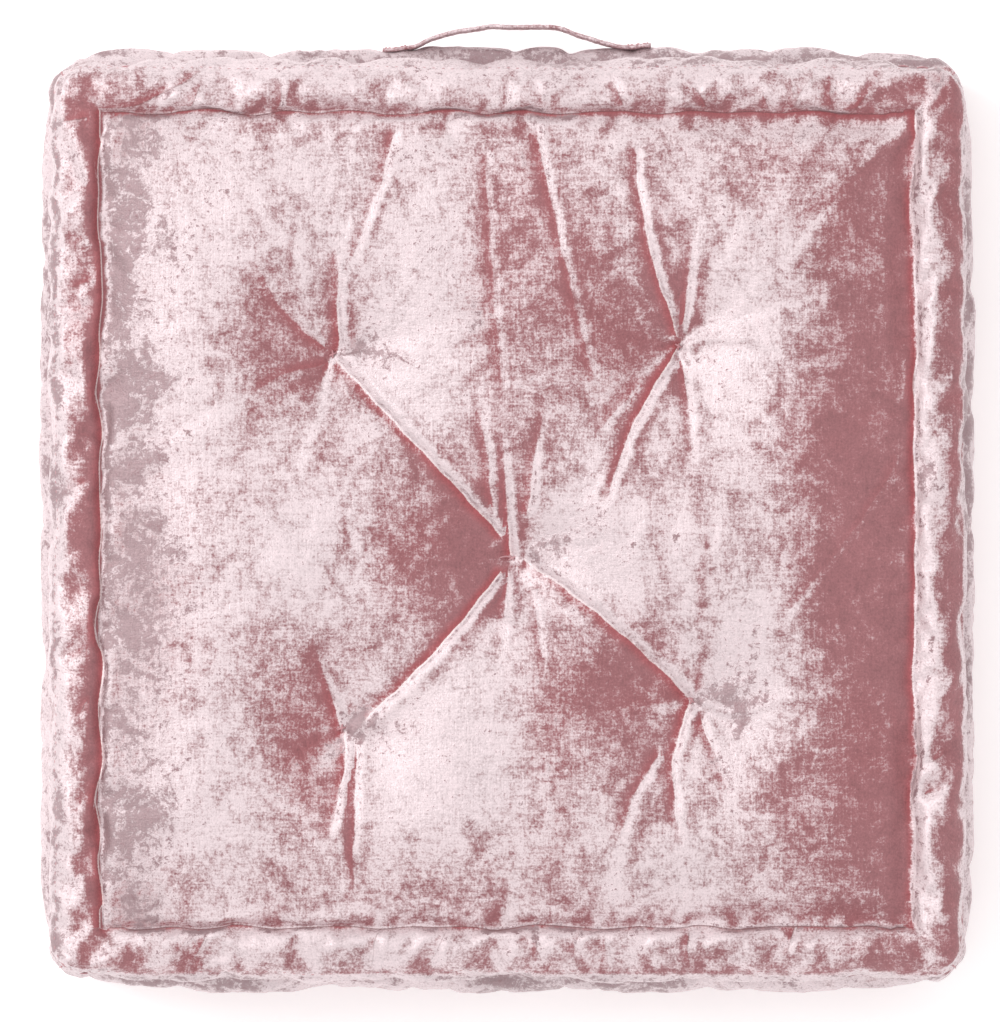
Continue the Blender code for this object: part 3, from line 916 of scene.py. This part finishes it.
# how bright the velvet is painted: the painted light by slope first, then the listed patches and
# the noises from broad to fine, then painted shade in fold hollows and painted light and shade
# beside folds
tone_and_painted_light = painted_slope_light_at * 3.3 + patches_and_painted_light_at * 1.3 + clouds * 1.2 + patches * 2.4 + marks * 2.8 + grain * 2.0
tone_and_painted_light = tone_and_painted_light + threads * 1.1 + 0.12 - 0.20 * deep_at + 0.9 * lit_side - 1.5 * dark_side
bright = tone_and_painted_light.over(-0.82, 0.68)
# painted greyish shade where the cloth stands steep to the light, more on the sides, less on a
# fold's painted highlight
steep = painted_slope_light_at * 2.1 + painted_grey_shade_at * 0.85 + clouds * 2.2 + marks * 3.2 + patches * 3.4 + grain * 2.0
steep = (steep + 0.35 * upright_at - 1.0 * painted_edge_line_at - 0.6 * lit_side).over(0.70, 1.40)
# a thin painted greyish band on a fold's lit side, just past its painted highlight line
wall = close_at * beside_at.over(0.5, 1.0) * (1 - beside_at.over(1.8, 3.0))
wall = (wall * 1.1 + marks * 3.5 + grain * 2.0 - 0.45).kept() * wall.over(0.0, 0.2)
specks = (marks + grain * 0.6 + patches * 0.6).over(0.16, 0.26)
# the colours, from the broadest change to the finest
# rose deepens at random, and as painted shade down in folds and on a fold's dark side
rose = (deep_at * 0.25 + 0.08 + clouds + dark_side * beside_at.over(-7.5, -1.0) * 1.3).kept()
rose = velvet.mixed(rose, ROSE, DEEP_ROSE)
pale = velvet.mixed((steep * 0.85 + specks * 0.5 + wall).kept(), PALE, MAUVE)
colour = velvet.mixed(bright, rose, pale)
# a fold's painted highlight line in EDGE_LIGHT, and its painted shade line in SHADE
off_line = beside_at + grain * 0.8
line = (1 - off_line.maths("ABSOLUTE", off_line) * 2.2).kept() * painted_edge_line_at
colour = velvet.mixed((line * 1.3).kept(), colour, EDGE_LIGHT)
colour = velvet.mixed((line * -1.3).kept(), colour, SHADE)
mottled = grain * 0.75 + marks * 0.50 + patches * 0.55 + threads * 0.20
colour = velvet.scaled(colour, 1 + mottled)
velvet.feed(Base_Color=colour, Metallic=0.16 + bright * 0.14)
velvet.feed(Roughness=(0.48 - bright * 0.08 + marks * 0.25).kept())
velvet.bumped(marks * 0.6 + grain * 0.35 + threads * 0.3, 0.9 * MM, 0.7)
skin.materials.clear()
skin.materials.append(velvet.material)
print("velvet:", len(velvet.tree.nodes), "nodes")

# %% [markdown]
# ## Sewing thread
# Twisted polyester in the colour of the velvet: fine slanting ridges and a slight change of
# colour along the strand.

# %% Make the thread's finish
THREAD_COLOUR = (0.50, 0.235, 0.255, 1)
THREAD_PALE = (0.66, 0.40, 0.42, 1)
twine = Finish("sewing_thread", Specular_IOR_Level=0.4)
strand = twine.noise(900, 2, 0.5, 0.0, (1, 1, 0.35))
along = twine.noise(90, 3)
twine.feed(Base_Color=twine.mixed((along * 1.6 + 0.4).kept(), THREAD_COLOUR, THREAD_PALE))
twine.feed(Roughness=(0.55 + strand * 0.5).kept())
twine.bumped(strand, 0.2 * MM, 0.7)

# %% [markdown]
# ## Rows of stitches
# A row is one short stitch repeated along a path, so Geometry Nodes lay it. The path is a
# line of points on the skin that know which way is out. The tree spaces points along it,
# puts a stitch on each, turned along the path and outwards, and makes them real.

# %% Build the tree that sews
class Tree:
    """Geometry nodes, added one at a time and wired as they are added."""

    def __init__(self, name):
        self.group = bpy.data.node_groups.new(name, "GeometryNodeTree")
        self.inlet = self.group.nodes.new("NodeGroupInput")
        self.outlet = self.group.nodes.new("NodeGroupOutput")

    def takes(self, name, kind, way="INPUT"):
        self.group.interface.new_socket(name, in_out=way, socket_type="NodeSocket" + kind)

    def node(self, kind, inputs=None, settings=None, family="GeometryNode"):
        return add_node(self.group, family + kind, settings, inputs, 0)

    def maths(self, operation, *values):
        inputs = dict(enumerate(values))
        return self.node("Math", inputs, {"operation": operation}, "ShaderNode")

    def vector(self, **axes):
        return self.node("CombineXYZ", axes, None, "ShaderNode")

    def turned(self, kind, inputs, **settings):
        return self.node(kind, inputs, settings, "FunctionNode")


def one_stitch(tree, length, thread):
    """A short thread that bows up in its middle and narrows at both ends."""
    halved = tree.maths("MULTIPLY", length, 0.5)
    ends = [tree.vector(X=tree.maths("MULTIPLY", halved, way)) for way in (-1, 1)]
    line = tree.node("CurvePrimitiveLine", {"Start": ends[0], "End": ends[1]})
    line = tree.node("ResampleCurve", {"Curve": line, "Count": 6})
    share = tree.node("SplineParameter")
    bow = tree.maths("SINE", tree.maths("MULTIPLY", share, math.pi))
    up = tree.maths("SUBTRACT", tree.maths("MULTIPLY", bow, 1.7), 0.9)
    lift = tree.vector(Z=tree.maths("MULTIPLY", up, thread))
    line = tree.node("SetPosition", {"Geometry": line, "Offset": lift})
    width = tree.maths("ADD", tree.maths("MULTIPLY", bow, 0.55), 0.45)
    section = tree.node("CurvePrimitiveCircle", {"Resolution": 6, "Radius": thread})
    line = tree.node("SetCurveRadius", {"Curve": line, "Radius": width})
    return tree.node("CurveToMesh", {"Curve": line, "Profile Curve": section, "Fill Caps": True})


def stitch_tree():
    tree = Tree("row_of_stitches")
    tree.takes("Path", "Geometry")
    for name in ("Spacing", "Length", "Thread", "Unevenness"):
        tree.takes(name, "Float")
    tree.takes("Finish", "Material")
    tree.takes("Stitches", "Geometry", "OUTPUT")
    path, spacing, length, thread, uneven, finish = tree.inlet.outputs[:6]
    stitch = one_stitch(tree, length, thread)

    row = tree.node("MeshToCurve", {"Mesh": path})
    row = tree.node("ResampleCurve", {"Curve": row, "Length": spacing}, {"mode": "LENGTH"})
    out = tree.node("InputNamedAttribute", {"Name": "out"}, {"data_type": "FLOAT_VECTOR"})
    along = {"Vector": tree.node("InputTangent")}
    turn = tree.turned("AlignRotationToVector", along, axis="X")
    upwards = {"Rotation": turn, "Vector": out}
    turn = tree.turned("AlignRotationToVector", upwards, axis="Z", pivot_axis="X")
    ends = {0: tree.vector(Z=tree.maths("MULTIPLY", uneven, -1)), 1: tree.vector(Z=uneven)}
    swing = tree.turned("RandomValue", {**ends, "Seed": 5}, data_type="FLOAT_VECTOR")
    swung = {"Rotation": turn, "Rotate By": swing}
    turn = tree.turned("RotateRotation", swung, rotation_space="LOCAL")
    laid = {"Points": row, "Instance": stitch, "Rotation": turn}
    real = tree.node("RealizeInstances", {"Geometry": tree.node("InstanceOnPoints", laid)})
    smooth = tree.node("SetShadeSmooth", {"Geometry": real})
    done = tree.node("SetMaterial", {"Geometry": smooth, "Material": finish})
    tree.group.links.new(done, tree.outlet.inputs[0])
    return tree.group


sewing = stitch_tree()
print("sewing tree:", len(sewing.nodes), "nodes")

# %% [markdown]
# ## The rows on the cover
# The rolled edges are sewn with long slanting stitches that sink into the groove, and the
# same thread shows as running stitches along the sides. The seams are closed with short
# stitches. Each row is laid on the skin where it now is, by looking for the nearest point.

# %% Sew the rows
from mathutils.bvhtree import BVHTree

surface = BVHTree.FromPolygons(points.tolist(), [tuple(f.vertices) for f in skin.polygons])


def on_skin(places, sunk=0.0):
    """The nearest points of the skin, and which way is out there."""
    found = [surface.find_nearest(Vector(place)) for place in places]
    out = np.array([normal for _, normal, _, _ in found])
    return np.array([place for place, _, _, _ in found]) - sunk * out, out


def plain_piece(name, verts, faces, edges=()):
    mesh = bpy.data.meshes.new(name)
    mesh.from_pydata([tuple(v) for v in verts], edges, faces)
    return placed(name, mesh)


def sew(name, places, out, closed, node, spacing, length, radius=0.45 * MM, uneven=0.12):
    """Sews one row along places, and lets it stand for the CAD node's thread."""
    count = len(places)
    edges = [(i, i + 1) for i in range(count - 1)] + ([(count - 1, 0)] if closed else [])
    piece = plain_piece(name, places, [], edges)
    layer = piece.data.attributes.new("out", "FLOAT_VECTOR", "POINT")
    layer.data.foreach_set("vector", out.ravel())
    row = piece.modifiers.new("row", "NODES")
    row.node_group = sewing
    values = {"Spacing": spacing, "Length": length, "Thread": radius}
    values.update({"Unevenness": uneven, "Finish": twine.material})
    for socket in sewing.interface.items_tree:
        if socket.name in values:
            row[socket.identifier] = values[socket.name]
    settle(piece)
    if node:
        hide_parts(node)
    print(name, len(piece.data.polygons), "faces")
    return piece


def sewn_loop(numbers, name, node, spacing, length, thread, sunk, uneven):
    """A row round the cushion, through points of the cover's grid."""
    _, first = np.unique(numbers, return_index=True)
    places, out = on_skin(coarse_points[numbers[np.sort(first)]], sunk)
    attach(sew(name, places, out, True, node, spacing, length, thread, uneven), "cushion")


ROWS = (
    # points, name, CAD node, then in mm: spacing, length, thread, how deep; and unevenness
    (TOP + rolled_edge, "roll_stitches_top", "top_roll_stitching", 9, 5.5, 0.40, 1.3, 0.4),
    (UNDER + rolled_edge, "roll_stitches_under", "bottom_roll_stitching", 9, 5.5, 0.40, 1.0, 0.4),
    (loops[row_upper], "side_stitches_upper", "top_side_stitching", 11, 6.5, 0.45, 0.0, 0.1),
    (loops[row_lower], "side_stitches_lower", "bottom_side_stitching", 11, 6.5, 0.45, 0.0, 0.1),
    (loops[-1], "seam_stitches_top", "top_seam_thread", 5, 2.6, 0.30, 0.3, 0.2),
    (loops[0], "seam_stitches_under", "bottom_seam_thread", 5, 2.6, 0.30, 0.3, 0.2),
)
for numbers, name, node, spacing, length, thread, sunk, uneven in ROWS:
    sewn_loop(numbers, name, node, spacing * MM, length * MM, thread * MM, sunk * MM, uneven)

# %% Sew the four upright seams
for name in ("front_right", "back_right", "back_left", "front_left"):
    node = "corner_seam_" + name
    low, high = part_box(node)
    upwards = np.linspace(low.z + 2 * MM, high.z - 2 * MM, 30)
    places, out = on_skin([(*middle(node).xy, z) for z in upwards], 0.1 * MM)
    piece = sew("corner_stitches_" + name, places, out, False, node, 4 * MM, 2.6 * MM,
                uneven=0.15)
    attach(piece, "cushion")

# %% Put the cover on its body
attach(cover, "cushion")
sides = ["side_strip_" + way for way in ("front", "right", "back", "left")]
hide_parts("fill_core", "top_roll_filling", "bottom_roll_filling", "top_panel",
            "bottom_panel", *sides)

# %% [markdown]
# ## Ties
# Each tie is a doubled thread that goes through the filling and back. On both faces it ends
# in two crossed stitches in the bottom of the hollow, and the middle one kept its tail.

# %% Tie the cushion
def closed_skin(rings):
    """The points and faces of a closed skin over rings of points."""
    count = len(rings[0])
    verts = np.concatenate(rings).tolist()
    faces = []
    for i in range(len(rings) - 1):
        for j in range(count):
            a, b = i * count + j, i * count + (j + 1) % count
            faces.append((b, a, a + count, b + count))
    faces.append(tuple(range(count)))
    faces.append(tuple(range(len(verts) - 1, len(verts) - 1 - count, -1)))
    return verts, faces


def tube(path, radius, sides=8):
    """A closed tube along a path of points, narrower at both ends."""
    path = np.array(path, float)
    along = np.gradient(path, axis=0)
    along /= np.linalg.norm(along, axis=1)[:, None]
    across = np.cross(along, (0.31, 0.95, 0.02))
    across /= np.linalg.norm(across, axis=1)[:, None]
    other = np.cross(along, across)
    angles = np.linspace(0, 2 * math.pi, sides, endpoint=False)
    thick = np.full(len(path), radius)
    thick[[0, -1]] *= 0.55
    return closed_skin(path[:, None] + thick[:, None, None] * (
        np.cos(angles)[None, :, None] * across[:, None]
        + np.sin(angles)[None, :, None] * other[:, None]))


def joined(parts):
    verts, faces = [], []
    for part_verts, part_faces in parts:
        faces += [tuple(i + len(verts) for i in face) for face in part_faces]
        verts += part_verts
    return verts, faces


TIE_THREAD = 0.55 * MM
for tie, (name, (x, y)) in enumerate(zip(TUFTS, tuft_xy)):
    parts = []
    top_z = surface.ray_cast(Vector((x, y, 0.2)), Vector((0, 0, -1)))[0].z
    under_z = surface.ray_cast(Vector((x, y, -0.1)), Vector((0, 0, 1)))[0].z
    for z, out_way in ((top_z, 1), (under_z, -1)):
        for turn in (0.4 + tie, 1.6 + tie):
            arc = [(x + 2.3 * MM * u * math.cos(turn), y + 2.3 * MM * u * math.sin(turn),
                    z + out_way * ((1.3 - 1.9 * u * u) * MM)) for u in np.linspace(-1, 1, 9)]
            parts.append(tube(arc, TIE_THREAD))
    shaft = [(x, y, z) for z in np.linspace(under_z + 0.5 * MM, top_z - 0.5 * MM, 6)]
    parts.append(tube(shaft, 0.9 * MM))
    if name == "middle":
        tail = [(x - 6.5 * MM * u, y + (0.8 * u + 0.6 * math.sin(4 * u)) * MM,
                 top_z + (1.2 + 2.2 * u) * MM) for u in np.linspace(0, 1, 9)]
        parts.append(tube(tail, 0.4 * MM))
    piece = plain_piece("tie_" + name, *joined(parts))
    piece.data.materials.append(twine.material)
    piece.data.shade_smooth()
    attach(piece, "cushion")
    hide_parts("tuft_tie_" + name)
print(len(TUFTS), "ties")

# %% [markdown]
# ## The carrying strap
# A band of the same velvet, folded into a strap and stitched along both edges, with its ends
# boxed down on the back. It is made as two halves. Each follows the cushion where it is
# sewn and the handle where it is free, and between them it runs from one to the other.

# %% Find the strap's path in the frame
loop_low, loop_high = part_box("handle_loop")
left_end, right_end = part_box("handle_end_left"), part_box("handle_end_right")
STRAP_WIDE = loop_high.z - loop_low.z
strap_z = (loop_low.z + loop_high.z) / 2
first_x = loop_low.x + MM / 10
cut = [v.co.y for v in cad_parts["handle_loop"].data.vertices if v.co.x < first_x]
STRAP_THICK = max(cut) - min(cut)
INSET = 2.5 * MM
span_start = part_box("handle_stitch_left")[1].x + INSET
span_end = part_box("handle_stitch_right")[0].x - INSET
middle_x = (span_start + span_end) / 2
STRAP_LINE = (  # share of the span, share of the rise: a strap that has been held is kinked
    (-0.5, 0), (-0.45, 0.13), (-0.33, 0.60), (-0.27, 0.73), (-0.16, 0.90), (-0.12, 1),
    (-0.06, 0.95), (0.17, 0.95), (0.24, 0.81), (0.30, 0.60), (0.39, 0.26), (0.47, 0.03),
    (0.5, 0),
)


def back_skin(x):
    """How far out the cover's back stands behind the strap."""
    out = [surface.ray_cast(Vector((x, 0.4, z)), Vector((0, -1, 0)))[0].y
           for z in np.linspace(loop_low.z, loop_high.z, 9)]
    return sorted(out)[-3]


top_y = loop_high.y - STRAP_THICK / 2
print("strap", STRAP_WIDE / MM, "wide", STRAP_THICK / MM, "thick, from", span_start, "to", span_end)

# %% Make the strap
EDGE_LINE = 2.5 * MM
HALF_STEPS = 90
WIDE_STEPS = 24


def strap_half(start, end):
    """One half of the strap as a closed skin between two places along X."""
    places = np.linspace(start, end, HALF_STEPS)
    foot = np.array([back_skin(x) for x in places]) + STRAP_THICK / 2 - 0.4 * MM
    share = (places - middle_x) / (span_end - span_start)
    rise = np.interp(share, *np.array(STRAP_LINE).T)
    mid = foot * (1 - rise) + top_y * rise
    for _ in range(9):
        mid[1:-1] = (mid[:-2] + 2 * mid[1:-1] + mid[2:]) / 4
    turn = np.linspace(0, 2 * math.pi, 2 * WIDE_STEPS, endpoint=False)
    wide = np.sign(np.cos(turn)) * np.abs(np.cos(turn)) ** 0.45
    thick = np.sign(np.sin(turn)) * np.abs(np.sin(turn)) ** 0.55
    up = wide * STRAP_WIDE / 2
    at_edge_line = bell(np.abs(up) - STRAP_WIDE / 2 + EDGE_LINE, 0.8 * MM)
    rings = []
    for x, y in zip(places, mid):
        pucker = 1 + 0.05 * math.sin(x * 1900) + 0.04 * math.sin(x * 830 + 1)
        half_thick = STRAP_THICK / 2 * (1 - 0.28 * at_edge_line) * pucker
        edge = 0.35 * MM * math.sin(x * 410 + 2) + 0.2 * MM * math.sin(x * 1130)
        rings.append(np.column_stack([np.full(len(turn), x), y + thick * half_thick,
                                      strap_z + up + edge * wide]))
    return closed_skin(rings)


def outwards(piece):
    """Turns every face of a closed piece outwards."""
    work = bmesh.new()
    work.from_mesh(piece.data)
    bmesh.ops.recalc_face_normals(work, faces=work.faces)
    work.to_mesh(piece.data)
    work.free()


halves = {}
for name, far_x in (("left", left_end[0].x), ("right", right_end[1].x)):
    start, end = sorted((far_x, middle_x))
    piece = plain_piece("strap_" + name, *strap_half(start, end))
    outwards(piece)
    piece.data.shade_smooth()
    piece.data.materials.append(velvet.material)
    strap_up = read(piece.data.vertex_normals, "vector")[:, 2]
    # painted light by slope: the strap's upward faces are painted a little lighter
    write(piece.data, "painted_slope_light", -0.10 + 0.12 * strap_up)
    write(piece.data, "upright", np.ones(len(strap_up)))
    halves[name] = piece
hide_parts("handle_end_left", "handle_loop")
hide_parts("handle_end_right")
for name, edge_x, way in (("left", loop_low.x, 1), ("right", loop_high.x, -1)):
    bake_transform(halves[name])
print("strap halves:", [len(piece.data.polygons) for piece in halves.values()])

# %% Box its ends down
for name, node in (("left", "handle_stitch_left"), ("right", "handle_stitch_right")):
    low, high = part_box(node)
    face = BVHTree.FromObject(halves[name], bpy.context.evaluated_depsgraph_get())
    corners = [(low.x, low.z), (high.x, low.z), (high.x, high.z), (low.x, high.z)]
    places, out = [], []
    for (x1, z1), (x2, z2) in zip(corners, corners[1:] + corners[:1]):
        for u in np.linspace(0, 1, 8, endpoint=False):
            spot = Vector((x1 + (x2 - x1) * u, high.y + 0.02, z1 + (z2 - z1) * u))
            hit, normal, _, _ = face.ray_cast(spot, Vector((0, -1, 0)))
            places.append(hit)
            out.append(normal)
    piece = sew("box_stitches_" + name, np.array(places), np.array(out), True, node,
                3.4 * MM, 2.4 * MM, 0.4 * MM, 0.08)
    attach(piece, "cushion")

# %% [markdown]
# ## The studio
# A pale floor that runs out of sight, an even sky, and one large soft lamp up on the left,
# on the side from which light is painted into the velvet. The paper of the floor glows a little, as
# paper lit from below does, so it stays white near the cushion. The camera looks straight down
# from far off, so that the sides hardly show.

# %% Lay the floor
size = 40.0
floor = plain_piece("studio_floor", [(-size, -size, 0), (size, -size, 0), (size, size, 0),
                                     (-size, size, 0)], [(0, 1, 2, 3)])
floor_finish = Finish("studio_paper", Specular_IOR_Level=0.2, Emission_Strength=0.32,
                      Emission_Color=(1, 0.995, 0.995, 1))
tone = floor_finish.noise(1.5, 2) * 0.02 + 0.97
white = floor_finish.node("RGB")
white.socket.default_value = (0.97, 0.965, 0.965, 1)
floor_finish.feed(Base_Color=floor_finish.scaled(white, tone))
floor_finish.feed(Roughness=floor_finish.noise(40, 2) * 0.1 + 0.75)
floor.data.materials.append(floor_finish.material)

# %% Hang the light and set the camera
world = bpy.data.worlds.new("studio")
bpy.context.scene.world = world
world.use_nodes = True
sky = world.node_tree.nodes["Background"].inputs
sky["Color"].default_value = (1.0, 0.99, 0.99, 1)
sky["Strength"].default_value = 0.85

light = bpy.data.lights.new("key", "AREA")
light.shape = "DISK"
light.size = 1.8
light.energy = 52
lamp = placed("key", light)
lamp.location = (-2.4, 1.1, 2.6)
to_lamp = lamp.location - Vector((0, 0, 0.05))
lamp.rotation_euler = to_lamp.to_track_quat("Z", "Y").to_euler()

VIEW_WIDTH = 1.0744 * (cad_box[1].x - cad_box[0].x)
HEIGHT = 8.0
camera_data = bpy.data.cameras.new("above")
camera = placed("above", camera_data)
bpy.context.scene.camera = camera
camera_data.sensor_fit = "HORIZONTAL"
camera_data.clip_end = 100
camera_data.lens = camera_data.sensor_width * (HEIGHT - 0.05) / VIEW_WIDTH
camera.location = (-0.0040, 0.0047, HEIGHT)
bpy.context.scene.view_settings.view_transform = "Standard"
bpy.context.scene.view_settings.look = "None"
